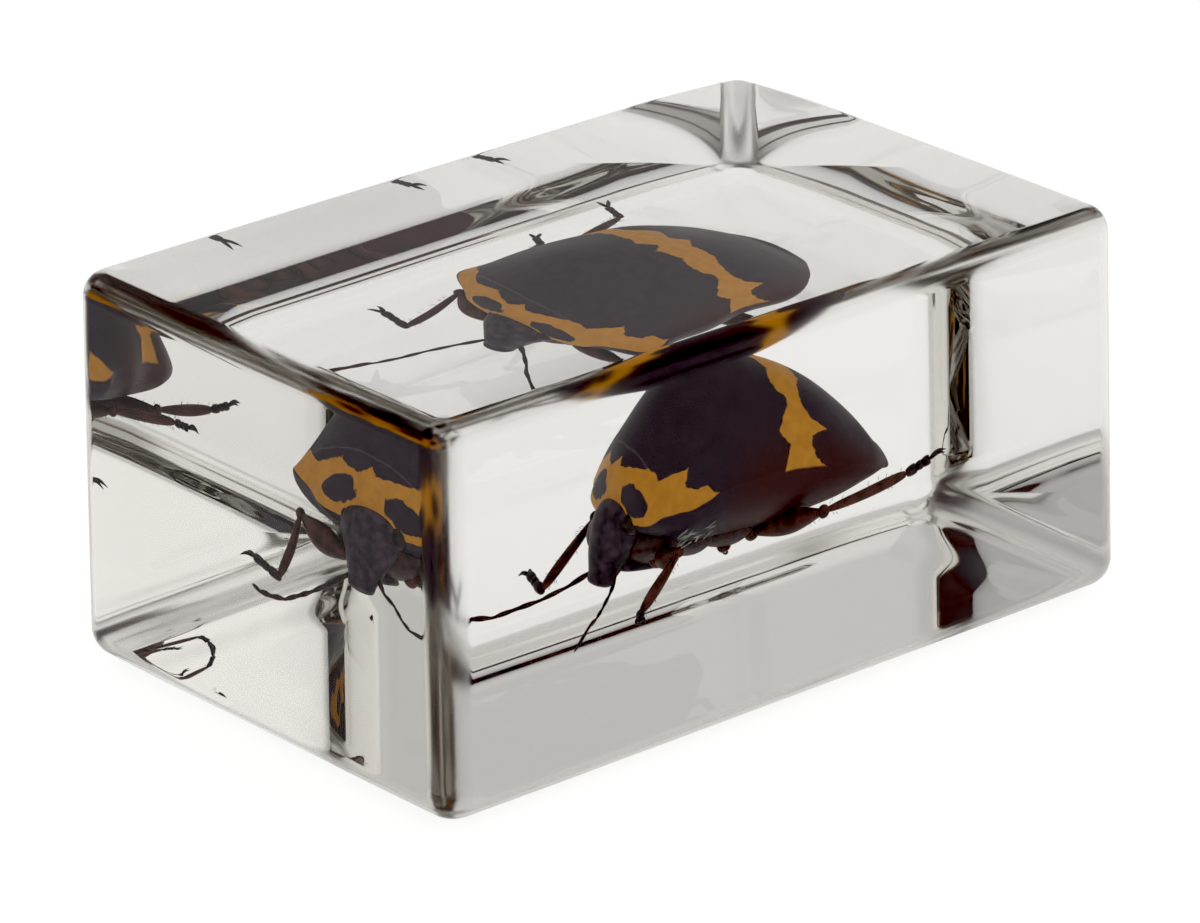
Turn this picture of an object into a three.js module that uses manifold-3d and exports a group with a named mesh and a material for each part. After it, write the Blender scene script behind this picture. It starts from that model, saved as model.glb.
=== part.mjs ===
// A shield bug cast whole in a small block of clear resin.
//
// Millimetres, +Z up. The origin is the middle of the block's underside and X runs along its length;
// the insect faces -X. The resin is parted level with the insect's sides, so that the pocket around it
// is open along the parting face.

import * as THREE from 'three';
import { mergeVertices } from 'three/addons/utils/BufferGeometryUtils.js';
import Module from 'manifold-3d';

const wasm = await Module();
wasm.setup();

// ---------------------------------------------------------------- driving dimensions

const BLOCK = {
  length: 44,
  width: 29,
  height: 20.75,
  draft: 0.25, // each side leans in by this much over the full height
  uprightEdge: 2.2,
  topEdge: 1.4,
  bottomEdge: 2.0,
  partingHeight: 9.0,
  partingGap: 0.3,
};

const POCKET = { clearance: 0.42 };

// Facets: [around, along] for the bodies and sides for the limbs.
const FINE = { body: [40, 26], head: [18, 12], eye: [10, 7], limb: 8, grow: 0 };
const COARSE = { body: [24, 16], head: [12, 8], eye: [6, 4], limb: 5, grow: POCKET.clearance };

// The trunk in its own frame: +X to the tail, +Y to the insect's right, +Z to its back.
const TRUNK = {
  middle: new THREE.Vector3(3.25, 0.13, 8.62),
  roll: THREE.MathUtils.degToRad(-1.1),
  pitch: THREE.MathUtils.degToRad(-2.6),
  yaw: THREE.MathUtils.degToRad(0.8),
  length: 17.0,
  // Shares of the length from the front edge of the pronotum to the tip of the abdomen.
  stations: [0, 0.02, 0.06, 0.13, 0.24, 0.38, 0.55, 0.72, 0.86, 0.95, 0.985, 1],
  halfWidth: [0, 3.8, 5.1, 7.0, 6.7, 6.65, 6.1, 6.05, 5.0, 3.25, 2.2, 0],
  backHeight: [0, 2.0, 2.7, 3.9, 5.25, 5.75, 5.2, 4.1, 2.5, 1.05, 0.95, 0],
  bellyDepth: [0, 0.85, 1.5, 2.3, 3.3, 3.6, 3.4, 2.6, 1.5, 0.7, 0.4, 0],
  edgeStations: [0, 0.13, 0.3, 0.55, 0.8, 1],
  edgeHeight: [1.25, 1.85, 2.25, 1.6, 0.4, -1.7],
  crestStations: [0, 0.13, 0.24, 0.38, 0.6, 0.8, 1],
  crestFullness: [1.6, 0.95, 1.15, 1.25, 1.8, 1.5, 1.25],
};

// The head hangs down in front of the pronotum like a wedge.
const HEAD = {
  base: new THREE.Vector3(-4.3, 0.1, 10.3),
  tip: new THREE.Vector3(-5.75, -0.3, 6.1),
  stations: [0, 0.12, 0.35, 0.6, 0.85, 0.96, 1],
  halfWidth: [0, 1.9, 2.1, 1.65, 1.3, 0.85, 0],
  halfDepth: [0, 1.0, 1.25, 1.2, 0.75, 0.45, 0],
};

const EYE = { radius: 0.72, forward: -5.0, apart: 2.0, height: 9.5 };

// Limbs as [x, y, z, radius] at each joint, from the body outwards, in the block's frame.
const LIMBS = {
  antennaRight: [
    [-5.6, 0.8, 7.2, 0.2], [-6.2, 1.3, 6.7, 0.18], [-7.4, 2.1, 6.1, 0.14], [-8.85, 2.7, 5.7, 0.13],
    [-10.2, 2.95, 5.6, 0.15], [-11.45, 3.35, 5.45, 0.12], [-12.5, 3.85, 5.6, 0.17],
    [-13.4, 4.25, 5.85, 0.15], [-14.0, 4.5, 6.25, 0.09],
  ],
  antennaLeft: [
    [-5.4, -0.8, 7.0, 0.2], [-5.9, -1.2, 6.4, 0.18], [-6.65, -2.3, 6.25, 0.14], [-7.6, -3.4, 5.95, 0.13],
    [-8.4, -4.4, 5.85, 0.14], [-9.6, -6.2, 6.1, 0.15], [-11.3, -7.8, 5.5, 0.1],
  ],
  rostrum: [[-5.2, -0.2, 6.9, 0.42], [-3.9, -0.5, 6.7, 0.34], [-2.7, -0.45, 5.45, 0.15]],
  frontRight: [
    [-3.6, 1.3, 9.2, 0.7], [-4.3, 1.9, 7.1, 0.6], [-4.4, 4.0, 7.5, 0.5], [-4.3, 5.6, 8.0, 0.28],
    [-5.8, 5.9, 6.6, 0.2], [-7.3, 6.1, 5.2, 0.24], [-7.5, 8.1, 6.0, 0.15], [-7.8, 8.7, 5.9, 0.08],
  ],
  frontLeft: [
    [-2.9, -1.2, 9.2, 0.7], [-3.4, -1.8, 7.1, 0.6], [-3.6, -3.8, 7.5, 0.5], [-3.6, -5.5, 8.1, 0.28],
    [-5.0, -5.9, 7.0, 0.2], [-6.5, -6.4, 5.9, 0.24], [-7.0, -7.8, 5.9, 0.15], [-7.1, -8.3, 5.9, 0.08],
  ],
  middleRight: [
    [0.6, 1.0, 8.8, 0.7], [0.5, 1.9, 6.9, 0.42], [-0.2, 4.2, 7.4, 0.48], [-0.8, 6.2, 8.0, 0.3],
    [1.4, 7.5, 7.9, 0.2], [3.5, 8.7, 7.7, 0.22], [3.85, 9.5, 7.6, 0.14], [4.2, 9.9, 7.6, 0.08],
  ],
  middleLeftStump: [[0.8, -0.9, 8.8, 0.7], [1.0, -1.4, 6.7, 0.48], [1.1, -1.5, 6.1, 0.42]],
  hindRight: [
    [3.5, 1.0, 8.8, 0.7], [3.5, 1.9, 6.9, 0.42], [3.6, 4.6, 7.3, 0.48], [3.6, 7.2, 7.9, 0.3],
    [6.2, 8.0, 7.8, 0.2], [8.8, 8.75, 7.75, 0.24], [8.95, 9.9, 8.3, 0.15], [9.2, 10.5, 8.6, 0.08],
  ],
  hindLeft: [
    [3.4, -1.0, 8.8, 0.7], [3.5, -1.9, 6.9, 0.5], [4.4, -4.1, 7.5, 0.55], [5.3, -6.4, 8.1, 0.3],
    [7.7, -7.2, 8.4, 0.2], [10.15, -8.0, 8.8, 0.23], [11.2, -8.6, 9.25, 0.15], [12.0, -9.0, 9.5, 0.08],
  ],
};

const FINISH = {
  resin: new THREE.MeshStandardMaterial({ color: 0xf4f6f7, roughness: 0.05, metalness: 0 }),
  insect: new THREE.MeshStandardMaterial({ color: 0x3a2016, roughness: 0.4, metalness: 0 }),
};

// ---------------------------------------------------------------- joining and cutting

// The closed solid of one geometry, or of a mesh's shape after a join or cut.
function solid(geometry) {
  const bare = geometry.clone();
  bare.deleteAttribute('normal');
  bare.deleteAttribute('uv');
  const merged = mergeVertices(bare, 1e-5);
  const mesh = new wasm.Mesh({
    numProp: 3,
    vertProperties: merged.attributes.position.array,
    triVerts: new Uint32Array(merged.index.array),
  });
  return new wasm.Manifold(mesh);
}

function geometryOf(shape) {
  const mesh = shape.getMesh();
  const geometry = new THREE.BufferGeometry();
  geometry.setAttribute('position', new THREE.BufferAttribute(new Float32Array(mesh.vertProperties), 3));
  geometry.setIndex(new THREE.BufferAttribute(new Uint32Array(mesh.triVerts), 1));
  geometry.computeVertexNormals();
  return geometry;
}

const joined = (geometries) => geometries.map(solid).reduce((all, next) => all.add(next));

// ---------------------------------------------------------------- the insect

// A share of a body's length and the polar angle that a sphere's ring there has.
const ringAngle = (share) => Math.acos(1 - 2 * share);

// A smooth curve through the values at the stations, read at a polar angle.
function along(angle, stations, values) {
  const angles = stations.map(ringAngle);
  const last = angles.length - 1;
  const slope = (i) => {
    const before = Math.max(i - 1, 0);
    const after = Math.min(i + 1, last);
    return (values[after] - values[before]) / (angles[after] - angles[before]);
  };
  let i = 0;
  while (i < last - 1 && angle > angles[i + 1]) i += 1;
  const span = angles[i + 1] - angles[i];
  const t = THREE.MathUtils.clamp((angle - angles[i]) / span, 0, 1);
  return (2 * t ** 3 - 3 * t ** 2 + 1) * values[i]
    + (t ** 3 - 2 * t ** 2 + t) * span * slope(i)
    + (3 * t ** 2 - 2 * t ** 3) * values[i + 1]
    + (t ** 3 - t ** 2) * span * slope(i + 1);
}

// A sphere with each vertex moved to where `section` puts it. Its poles are the body's two ends;
// across and up are the sides of the unit circle around the body, both zero at the poles.
function shapedSphere([around, rings], section) {
  const geometry = new THREE.SphereGeometry(1, around, rings);
  const place = geometry.attributes.position;
  for (let i = 0; i < place.count; i += 1) {
    const axial = THREE.MathUtils.clamp(place.getY(i), -1, 1);
    const ring = Math.hypot(place.getX(i), place.getZ(i));
    const atPole = ring < 1e-6;
    const across = atPole ? 0 : place.getX(i) / ring;
    const up = atPole ? 0 : place.getZ(i) / ring;
    const moved = section(Math.acos(axial), across, up, atPole);
    place.setXYZ(i, moved.x, moved.y, moved.z);
  }
  return geometry;
}

// Pronotum, scutellum and abdomen as one domed body with a flatter belly.
function trunk(facets) {
  const { stations } = TRUNK;
  const pose = new THREE.Matrix4().makeRotationFromEuler(
    new THREE.Euler(TRUNK.roll, TRUNK.pitch, TRUNK.yaw, 'ZYX'),
  ).setPosition(TRUNK.middle);
  const geometry = shapedSphere(facets.body, (angle, across, up, atPole) => {
    const grow = atPole ? 0 : facets.grow;
    const halfWidth = along(angle, stations, TRUNK.halfWidth) + grow;
    const backHeight = along(angle, stations, TRUNK.backHeight) + grow;
    const bellyDepth = along(angle, stations, TRUNK.bellyDepth) + grow;
    const fullness = along(angle, TRUNK.crestStations, TRUNK.crestFullness);
    const edge = along(angle, TRUNK.edgeStations, TRUNK.edgeHeight);
    const side = Math.abs(across);
    const back = backHeight * Math.max(0, 1 - side ** 1.8) ** (1 / fullness);
    const belly = -bellyDepth * Math.sqrt(Math.max(0, 1 - side ** 2.2));
    return new THREE.Vector3(
      -Math.cos(angle) * (TRUNK.length / 2 + facets.grow),
      halfWidth * across,
      edge + (up >= 0 ? back : belly),
    );
  });
  return geometry.applyMatrix4(pose);
}

function head(facets) {
  const axis = HEAD.tip.clone().sub(HEAD.base).normalize();
  const sideways = new THREE.Vector3(0, 1, 0);
  const forward = new THREE.Vector3().crossVectors(axis, sideways).normalize();
  return shapedSphere(facets.head, (angle, across, up, atPole) => {
    const grow = atPole ? 0 : facets.grow;
    const share = (1 - Math.cos(angle)) / 2;
    return HEAD.base.clone().lerp(HEAD.tip, share)
      .addScaledVector(axis, -Math.cos(angle) * facets.grow)
      .addScaledVector(sideways, across * (along(angle, HEAD.stations, HEAD.halfWidth) + grow))
      .addScaledVector(forward, up * (along(angle, HEAD.stations, HEAD.halfDepth) + grow));
  });
}

function eyes(facets) {
  return [-1, 1].map((side) => new THREE.SphereGeometry(EYE.radius + facets.grow, ...facets.eye)
    .translate(EYE.forward, side * EYE.apart, EYE.height));
}

// One tapered tube through all its joints: a cylinder with a row of rings, each ring moved to a joint
// and turned to halve the bend there.
function limb(joints, facets) {
  const points = joints.map(([x, y, z]) => new THREE.Vector3(x, y, z));
  const last = points.length - 1;
  const runs = points.slice(1).map((point, i) => point.clone().sub(points[i]).normalize());
  const turns = [new THREE.Quaternion().setFromUnitVectors(new THREE.Vector3(0, 1, 0), runs[0])];
  let heading = runs[0];
  for (let i = 1; i <= last; i += 1) {
    const next = i < last ? runs[i - 1].clone().add(runs[i]).normalize() : runs[last - 1];
    turns.push(new THREE.Quaternion().setFromUnitVectors(heading, next).multiply(turns[i - 1]));
    heading = next;
  }
  const geometry = new THREE.CylinderGeometry(1, 1, last, facets.limb, last);
  const place = geometry.attributes.position;
  for (let i = 0; i < place.count; i += 1) {
    const joint = Math.round(place.getY(i) + last / 2);
    const reach = joint === last ? facets.grow : 0;
    const spot = new THREE.Vector3(place.getX(i), 0, place.getZ(i))
      .multiplyScalar(joints[joint][3] + facets.grow)
      .applyQuaternion(turns[joint])
      .add(points[joint])
      .addScaledVector(runs[last - 1], reach);
    place.setXYZ(i, spot.x, spot.y, spot.z);
  }
  return geometry;
}

function insect(facets) {
  const limbs = Object.values(LIMBS).map((joints) => limb(joints, facets));
  return joined([trunk(facets), head(facets), ...eyes(facets), ...limbs]);
}

// ---------------------------------------------------------------- the block

// The outer shape of the whole block, with one radius for the edges of its top and underside.
function blockShape(edge) {
  const x = BLOCK.length / 2 - BLOCK.uprightEdge;
  const y = BLOCK.width / 2 - BLOCK.uprightEdge;
  const outline = new THREE.Shape();
  outline.absarc(x, y, BLOCK.uprightEdge, 0, Math.PI / 2);
  outline.absarc(-x, y, BLOCK.uprightEdge, Math.PI / 2, Math.PI);
  outline.absarc(-x, -y, BLOCK.uprightEdge, Math.PI, 1.5 * Math.PI);
  outline.absarc(x, -y, BLOCK.uprightEdge, 1.5 * Math.PI, 2 * Math.PI);
  const geometry = new THREE.ExtrudeGeometry(outline, {
    depth: BLOCK.height - 2 * edge,
    curveSegments: 6,
    bevelEnabled: true,
    bevelThickness: edge,
    bevelSize: edge,
    bevelOffset: -edge,
    bevelSegments: 5,
  });
  geometry.translate(0, 0, edge);
  const place = geometry.attributes.position;
  for (let i = 0; i < place.count; i += 1) {
    const lean = BLOCK.draft * place.getZ(i) / BLOCK.height;
    place.setX(i, place.getX(i) * (1 - lean / (BLOCK.length / 2)));
    place.setY(i, place.getY(i) * (1 - lean / (BLOCK.width / 2)));
  }
  return solid(geometry);
}

// The part of space between two heights, wide enough to hold the block.
function slab(bottom, top) {
  const box = new THREE.BoxGeometry(BLOCK.length + 10, BLOCK.width + 10, top - bottom);
  return solid(box.translate(0, 0, (bottom + top) / 2));
}

const lowerTop = BLOCK.partingHeight - BLOCK.partingGap / 2;
const upperBottom = BLOCK.partingHeight + BLOCK.partingGap / 2;
const pocket = insect(COARSE);
const lowerHalf = blockShape(BLOCK.bottomEdge).intersect(slab(-1, lowerTop)).subtract(pocket);
const upperHalf = blockShape(BLOCK.topEdge).intersect(slab(upperBottom, BLOCK.height + 1)).subtract(pocket);

// ---------------------------------------------------------------- the object

const group = new THREE.Group();

function addPiece(name, shape, material) {
  const mesh = new THREE.Mesh(geometryOf(shape), material);
  mesh.name = name;
  group.add(mesh);
}

addPiece('shield_bug', insect(FINE), FINISH.insect);
addPiece('resin_block_lower', lowerHalf, FINISH.resin);
addPiece('resin_block_upper', upperHalf, FINISH.resin);

export default group;
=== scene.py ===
"""A shield bug cast whole in a small block of clear resin.

Metres, +Z up. The origin is the middle of the block's underside, X runs along its length and the
insect faces -X. Sizes marked in millimetres are turned into metres where a mesh is made.
"""

import math
import random

import bpy
import numpy as np
from bpy.props import FloatProperty, FloatVectorProperty, IntProperty, PointerProperty
from mathutils import Euler, Matrix, Vector


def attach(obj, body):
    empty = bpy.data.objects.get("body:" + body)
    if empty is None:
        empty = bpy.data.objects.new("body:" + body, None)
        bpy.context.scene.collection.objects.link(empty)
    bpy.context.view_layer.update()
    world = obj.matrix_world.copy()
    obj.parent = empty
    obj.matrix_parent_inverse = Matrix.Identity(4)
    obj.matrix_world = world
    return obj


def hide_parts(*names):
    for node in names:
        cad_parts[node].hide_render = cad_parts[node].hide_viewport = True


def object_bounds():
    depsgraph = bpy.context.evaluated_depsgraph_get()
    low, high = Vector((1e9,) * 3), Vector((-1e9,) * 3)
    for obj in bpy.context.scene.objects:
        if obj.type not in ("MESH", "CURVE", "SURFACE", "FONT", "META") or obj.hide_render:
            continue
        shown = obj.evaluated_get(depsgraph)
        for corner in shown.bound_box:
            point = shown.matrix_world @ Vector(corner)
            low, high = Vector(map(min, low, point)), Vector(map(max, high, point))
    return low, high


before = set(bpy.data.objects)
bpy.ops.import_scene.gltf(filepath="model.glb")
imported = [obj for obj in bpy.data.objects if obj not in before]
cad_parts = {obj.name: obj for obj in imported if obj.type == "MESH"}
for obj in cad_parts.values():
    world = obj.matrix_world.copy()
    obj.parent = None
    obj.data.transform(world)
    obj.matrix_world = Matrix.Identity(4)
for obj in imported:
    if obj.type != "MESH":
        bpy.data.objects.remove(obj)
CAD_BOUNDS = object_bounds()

bl_info = {
    "name": "Insect in Resin Block",
    "version": (1, 0, 0),
    "blender": (4, 5, 0),
    "location": "View3D > Sidebar > Specimen",
    "description": "Builds a clear resin block with a shield bug sealed in it",
    "category": "Add Mesh",
}

MM = 0.001

# ---------------- sizes of the insect, in mm

# The trunk in its own frame: +X to the tail, +Y to the insect's right, +Z to its back.
TRUNK_MIDDLE = (3.25, 0.13, 8.62)
TRUNK_TURN = (math.radians(-1.1), math.radians(-2.6), math.radians(0.8))
TRUNK_LENGTH = 17.0
# Shares of the length from the front edge of the pronotum to the tip of the abdomen.
STATIONS = (0, 0.02, 0.06, 0.13, 0.24, 0.38, 0.55, 0.72, 0.86, 0.95, 0.985, 1)
HALF_WIDTH = (0, 3.8, 5.1, 7.0, 6.7, 6.65, 6.1, 6.05, 5.0, 3.25, 2.2, 0)
BACK_HEIGHT = (0, 2.0, 2.7, 3.9, 5.25, 5.75, 5.2, 4.1, 2.5, 1.05, 0.95, 0)
BELLY_DEPTH = (0, 0.85, 1.5, 2.3, 3.3, 3.6, 3.4, 2.6, 1.5, 0.7, 0.4, 0)
EDGE_STATIONS = (0, 0.13, 0.3, 0.55, 0.8, 1)
EDGE_HEIGHT = (1.25, 1.85, 2.25, 1.6, 0.4, -1.7)
CREST_STATIONS = (0, 0.13, 0.24, 0.38, 0.6, 0.8, 1)
CREST_FULLNESS = (1.6, 0.95, 1.15, 1.25, 1.8, 1.5, 1.25)
# How square the back and the belly are across: 2 is round.
BACK_SQUARENESS = 1.8
BELLY_SQUARENESS = 2.2

HEAD_BASE = (-4.3, 0.1, 10.3)
HEAD_TIP = (-6.2, 0.45, 6.05)
HEAD_STATIONS = (0, 0.12, 0.35, 0.6, 0.85, 0.97, 1)
HEAD_HALF_WIDTH = (0, 1.9, 2.15, 1.5, 1.0, 0.8, 0)
HEAD_HALF_DEPTH = (0, 1.2, 1.45, 1.3, 0.85, 0.65, 0)
HEAD_RINGS = 48
HEAD_AROUND = 56

EYE_RADIUS = 0.62
EYE_PLACE = (-4.9, 1.8, 9.4)

# Limbs as (x, y, z, radius) at each joint, from the body outwards, in the block's frame.
ANTENNAE = {
    "right": (
        (-5.6, 0.8, 7.2, 0.2), (-6.2, 1.3, 6.7, 0.18), (-7.4, 2.1, 6.1, 0.14), (-8.85, 2.7, 5.7, 0.13),
        (-10.2, 2.95, 5.6, 0.15), (-11.45, 3.35, 5.45, 0.12), (-12.5, 3.85, 5.6, 0.17),
        (-13.4, 4.25, 5.85, 0.15), (-14.0, 4.5, 6.25, 0.09),
    ),
    "left": (
        (-5.5, -0.4, 7.1, 0.18), (-5.9, -1.2, 6.4, 0.13), (-6.65, -2.3, 6.25, 0.11),
        (-7.6, -3.4, 5.95, 0.1), (-8.4, -4.4, 5.85, 0.1), (-9.6, -6.2, 6.1, 0.12),
        (-11.3, -7.8, 5.5, 0.08),
    ),
}
ROSTRUM = ((-5.2, -0.2, 6.9, 0.42), (-3.9, -0.5, 6.75, 0.36), (-2.9, -0.6, 6.35, 0.2))
LEGS = {
    "front_right": (
        (-3.6, 1.3, 9.2, 0.7), (-4.3, 1.9, 7.1, 0.6), (-4.4, 4.2, 7.5, 0.68), (-3.8, 6.2, 8.05, 0.34),
        (-5.8, 5.9, 6.6, 0.25), (-7.3, 6.1, 5.2, 0.34), (-7.15, 8.0, 5.65, 0.28), (-7.1, 9.1, 5.6, 0.08),
    ),
    "front_left": (
        (-2.9, -1.2, 9.2, 0.7), (-3.4, -1.8, 7.1, 0.6), (-3.6, -3.8, 7.5, 0.5), (-3.6, -5.5, 8.1, 0.28),
        (-5.0, -5.9, 7.0, 0.27), (-6.5, -6.4, 5.9, 0.36), (-7.0, -7.4, 5.8, 0.27), (-7.2, -8.0, 5.9, 0.08),
    ),
    "middle_right": (
        (0.6, 1.0, 8.8, 0.7), (0.5, 1.9, 6.9, 0.42), (-0.2, 4.2, 7.4, 0.48), (-0.8, 6.2, 8.0, 0.3),
        (1.4, 7.5, 7.9, 0.28), (3.5, 8.7, 7.7, 0.32), (3.85, 9.5, 7.6, 0.25), (4.3, 10.1, 7.6, 0.08),
    ),
    "hind_right": (
        (3.5, 1.0, 8.8, 0.7), (3.5, 1.9, 6.9, 0.42), (3.6, 4.6, 7.3, 0.48), (3.6, 7.2, 7.9, 0.3),
        (6.2, 8.0, 7.8, 0.28), (8.8, 8.75, 7.75, 0.32), (8.95, 9.9, 8.3, 0.25), (9.2, 10.7, 8.7, 0.08),
    ),
    "hind_left": (
        (2.6, -1.0, 8.6, 0.7), (2.6, -1.9, 6.8, 0.55), (4.0, -4.1, 7.3, 0.6), (5.3, -6.4, 7.85, 0.36),
        (7.7, -7.2, 8.25, 0.25), (10.15, -8.0, 8.8, 0.36), (11.3, -8.6, 9.3, 0.3), (12.2, -9.1, 9.7, 0.08),
    ),
}
# Ellipsoids under the thorax as (middle, half sizes): the three breast plates.
BREAST_PLATES = (
    ((-3.2, 0.3, 8.1), (1.9, 3.3, 1.5)),
    ((-1.0, 0.0, 7.85), (1.6, 3.3, 1.45)),
    ((1.3, 0.0, 7.6), (1.9, 3.4, 1.35)),
)
# Pale hairs at the left shoulder as (middle, half spread). Their pale colour partly paints a silver glint
# there.
TUFT = ((-3.2, -6.5, 8.85), (1.0, 0.2, 0.35))
TUFT_HAIRS = 26
TUFT_HAIR_LENGTHS = (0.3, 0.9)
TUFT_HAIR_RADII = (0.035, 0.015)
# The mean and the spread of the hairs' angles, how flat they lie, and how far they stand off.
TUFT_HAIR_TURN = (0.5, 0.5)
TUFT_LIFT = 0.6
TUFT_STAND = 0.15
# The broken middle leg, and the angles of the splinters round its end.
STUMP = ((0.8, -0.9, 8.8, 0.7), (1.0, -1.4, 6.7, 0.48), (1.1, -1.5, 6.1, 0.42))
STUMP_SPLINTERS = (0.4, 2.3, 4.4)
SPLINTER_LENGTH = 0.2
SPLINTER_RADII = (0.12, 0.03)
# The hip stands at a share of the way from the body to the thigh.
HIP_PLACE = 0.65
HIP_HALF_SIZES = (0.95, 0.85, 0.8)
# How thick hip, thigh and shin are at their start, middle and end, as shares of the joints' radii.
HIP_SHARES = (1, 1, 0.9)
THIGH_SHARES = (0.75, 1.12, 1)
SHIN_SHARES = (0.8, 1.15, 1.1)
THIGH_BALL = 0.85
KNEE_BALL = 1.02
# Foot joints as (start, end, thickness) in shares of the way from ankle to toe and of the toe's radius,
# and how each is thinner at its start than at its end.
FOOT_JOINTS = ((-0.1, 0.42, 1.0), (0.34, 0.7, 0.88), (0.6, 1.05, 0.95))
FOOT_TAPER = (0.85, 1.1)
# Claws: their root as a share of the toe's radius, then (sideways, up, radius) at the middle and the tip.
CLAW_ROOT = 0.6
CLAW_MIDDLE = (0.2, 0.1, 0.11)
CLAW_TIP = (0.32, -0.12, 0.03)
# Bristles: how many, between which shares of the way they stand, how long and thick they are, how far
# they lean to the foot, and how deep they root as a share of the leg's radius.
THIGH_BRISTLES = 12
SHIN_BRISTLES = 34
BRISTLE_SPAN = (0.08, 0.97)
BRISTLE_LENGTHS = (0.12, 0.2)
BRISTLE_RADII = (0.022, 0.006)
BRISTLE_LEAN = 0.12
BRISTLE_ROOT = 0.8
# An antenna's thin core and its joints at either end, as shares of its radius, and the gap between joints.
FEELER_CORE = 0.72
FEELER_JOINT = (0.85, 1.05)
FEELER_SWELL = 0.08
FEELER_GAP = 0.02

# ---------------- markings, in degrees

# A place on the carapace is its angle back from the front end (0 at the front, 180 at the tail) and its
# angle sideways from the crest (+90 at the right edge, -90 at the left edge). The borders of the collar
# and the sash are (sideways, back), and the collar's side limit is (back, sideways).
COLLAR_BACK_BORDER = (
    (-90, 58), (-84, 57), (-78, 54), (-67, 52), (-56, 42.5), (-51, 42.3), (-47, 46.5), (-42, 32.5),
    (-30, 31.5), (-17, 23.5), (-4, 20.5), (0, 26), (3, 25.5), (12, 20.5), (24, 26), (28, 32), (36, 32.5),
    (48, 34.5), (53, 45), (66, 50), (80, 54), (90, 58),
)
COLLAR_SIDE_LIMIT = ((0, 120), (17, 112), (25, 92), (35, 81), (45, 78), (52, 83), (60, 84), (90, 84))
# Round dark blotches as (sideways, forward, radius) on the flat chart of the carapace's front.
BLOTCHES = ((11.5, 11.5, 6.8), (-10.8, 9.0, 6.6))
SASH_FRONT_BORDER = (
    (-90, 88), (-79, 91), (-70, 92.4), (-65, 90.3), (-61, 89), (-53, 93.6), (-48, 96), (-42, 96.5),
    (-36, 93.8), (-27, 93.6), (-19, 95), (-7, 92.6), (0, 97), (6, 91.7), (13, 93.9), (44, 95.6),
    (58, 89), (70, 93), (90, 88),
)
SASH_BACK_BORDER = (
    (-90, 107), (-81, 102.7), (-74, 101.8), (-68, 103), (-61, 110.3), (-56, 105), (-47, 102.7),
    (-37, 103.2), (-25, 106.4), (-22, 108.3), (-7, 107.5), (1, 112.1), (8, 106.4), (20, 111.2),
    (37, 103.7), (55, 105), (62, 110), (70, 102), (90, 106),
)

# The painted highlight along the pronotum's rear edge behind the collar, as (sideways, back), and where it
# starts and ends sideways. Its half width is where it is full and where it is gone.
HIGHLIGHT_LINE = ((-90, 31), (-27, 31), (1, 30.5), (27.5, 36), (72.5, 48), (90, 52))
HIGHLIGHT_LINE_SIDES = (-30, 72)
HIGHLIGHT_LINE_HALF_WIDTH = (0.1, 0.7)
HIGHLIGHT_LINE_STRENGTH = 0.3
# How far the borders wander, and over how much they fade.
BORDER_WANDER = 5.0
BORDER_FADE = 0.35
BLOTCH_FADE = 0.4
# Where sideways the sash is full and where it is gone.
SASH_SIDE_LIMIT = (88, 91)

# ---------------- colours that stay as they are

RUSTY_SIDES = (0.07, 0.024, 0.022)
# Pale grey of the painted highlight behind the collar and of the real pale specks, and how strongly it is
# mixed in.
HIGHLIGHT_AND_SPECK_COLOUR = (0.3, 0.27, 0.28)
HIGHLIGHT_AND_SPECK_STRENGTH = 0.6
SPECKS_PER_METRE = 520.0
EYE_COLOUR = (0.02, 0.008, 0.006)
BREAST_COLOUR = (0.05, 0.02, 0.02)
FOOT_COLOUR = (0.028, 0.014, 0.018)
ANTENNA_COLOUR = (0.035, 0.016, 0.016)
# Pale grey of the tuft's hairs; their paleness partly paints the silver glint on the flank.
HAIR_AND_GLINT_COLOUR = (0.34, 0.34, 0.32)

# ---------------- polish of the block, as shares

# The extra slope of a roll-off: where in the reach it is steepest, how wide it is and where it has set in.
CREST_PLACE = 0.5
CREST_WIDTH = 0.32
CREST_START = 0.125
# Facets over which a rounded edge turns from clear to matt, and how rough it gets.
MATT_STEPS = 3
MATT_ROUGHNESS = 0.2
# How far in from the sides the plan keeps its corners, as a share of the corner radius.
CORNER_SHARE = 0.9
RESIN_IOR = 1.56

# ---------------- stage: floor in mm, camera clip in metres

SENSOR_WIDTH = 36.0
CAMERA_CLIP = (0.01, 20.0)
FLOOR_REACH = 1500.0
FLOOR_DROP = 0.02
FLOOR_TONES = ((0.33, 0.33, 0.328), (0.36, 0.36, 0.357))
FLOOR_GLOW = 0.8
SKY_COLOUR = (1.0, 0.995, 0.98)
SKY_STRENGTH = 0.62
# Light added to the sky as (from, to, gain): overhead by height, and on the camera's side by the way there.
SKY_TOP = (0.5, 0.85, 0.15)
SKY_NEAR = (0.3, 0.85, 1.1)
# The sky's strength at the middle, and how it grows to the right.
SKY_MIDDLE = 0.95
SKY_RIGHT = 0.2
# The way to the soft panel, and the cosines at which it sets in and is full.
PANEL_WAY = (0.594, -0.708, 0.38)
PANEL_EDGE = (0.93, 0.985)
PANEL_STRENGTH = 0.5
# Light that the view takes for black, and how often light may pass a face of the block.
BLACK_LEVEL = 0.075
LIGHT_BOUNCES = 32


# ---------------- settings a user would change


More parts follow.
